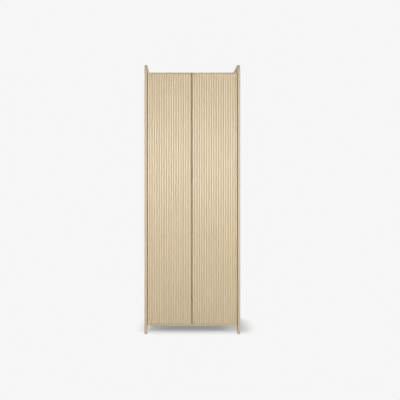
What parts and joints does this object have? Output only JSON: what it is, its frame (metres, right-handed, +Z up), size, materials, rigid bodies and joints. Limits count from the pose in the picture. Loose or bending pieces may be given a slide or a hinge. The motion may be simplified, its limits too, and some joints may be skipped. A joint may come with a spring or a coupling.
{
  "type": "louvred door cabinet",
  "caption": "Tall free-standing cupboard: rounded side gables that end in legs, and a pair of doors with fine vertical slats and a finger groove between them, over shelves.",
  "frame": {"origin": "on the floor, under the middle of the cabinet's outer box", "axes": "+Z up, -Y out of the doors to the front, +X to the right as seen from the front"},
  "size_m": [0.64, 0.43, 1.81],
  "materials": {
    "lacquered_board": "matt beige lacquer, a tone darker than the doors",
    "lacquered_back": "matt beige lacquer, one thin coat",
    "lacquered_door": "matt beige lacquer",
    "lacquered_slat": "beige lacquer with a silk sheen",
    "beech_dowel": "raw, turned",
    "zinc_casting": "die-cast, nickel plated",
    "bright_steel": "bright zinc plated",
    "zinc_plated_sheet": "zinc plated",
    "nylon_bush": "natural nylon",
    "catch_plastic": "moulded, fine grain",
    "ferrite": "sintered, ground",
    "glide_plastic": "moulded"
  },
  "bodies": {
    "carcass": {"left_gable": "lacquered_board", "right_gable": "lacquered_board", "top_board": "lacquered_board", "bottom_board": "lacquered_board", "back_panel": "lacquered_back", "fixed_shelf": "lacquered_board", "adjustable_shelf_1": "lacquered_board", "adjustable_shelf_2": "lacquered_board", "adjustable_shelf_3": "lacquered_board", "adjustable_shelf_4": "lacquered_board", "shelf_pins": "bright_steel", "carcass_dowels": "beech_dowel", "cam_bolts": "bright_steel", "cam_discs": "zinc_casting", "lower_pivot_pins": "bright_steel", "upper_pivot_bushes": "nylon_bush", "upper_catch_housing": "catch_plastic", "lower_catch_housing": "catch_plastic", "catch_magnets": "ferrite", "catch_screws": "bright_steel", "left_wall_bracket": "zinc_plated_sheet", "right_wall_bracket": "zinc_plated_sheet", "wall_bracket_screws": "bright_steel", "foot_glides": "glide_plastic"},
    "left_door": {"left_door_core": "lacquered_door", "left_door_slats": "lacquered_slat", "left_upper_pivot_pin": "bright_steel", "left_lower_pivot_bush": "nylon_bush", "left_strike_plates": "zinc_plated_sheet", "left_strike_screws": "bright_steel"},
    "right_door": {"right_door_core": "lacquered_door", "right_door_slats": "lacquered_slat", "right_upper_pivot_pin": "bright_steel", "right_lower_pivot_bush": "nylon_bush", "right_strike_plates": "zinc_plated_sheet", "right_strike_screws": "bright_steel"}
  },
  "joints": [
    {"name": "left_door_hinge", "type": "hinge", "parent": "carcass", "child": "left_door", "pos_m": [-0.28805, -0.196, 0.907], "axis": [0, 0, -1], "range_deg": [0, 105]},
    {"name": "right_door_hinge", "type": "hinge", "parent": "carcass", "child": "right_door", "pos_m": [0.28805, -0.196, 0.907], "axis": [0, 0, 1], "range_deg": [0, 105]}
  ]
}
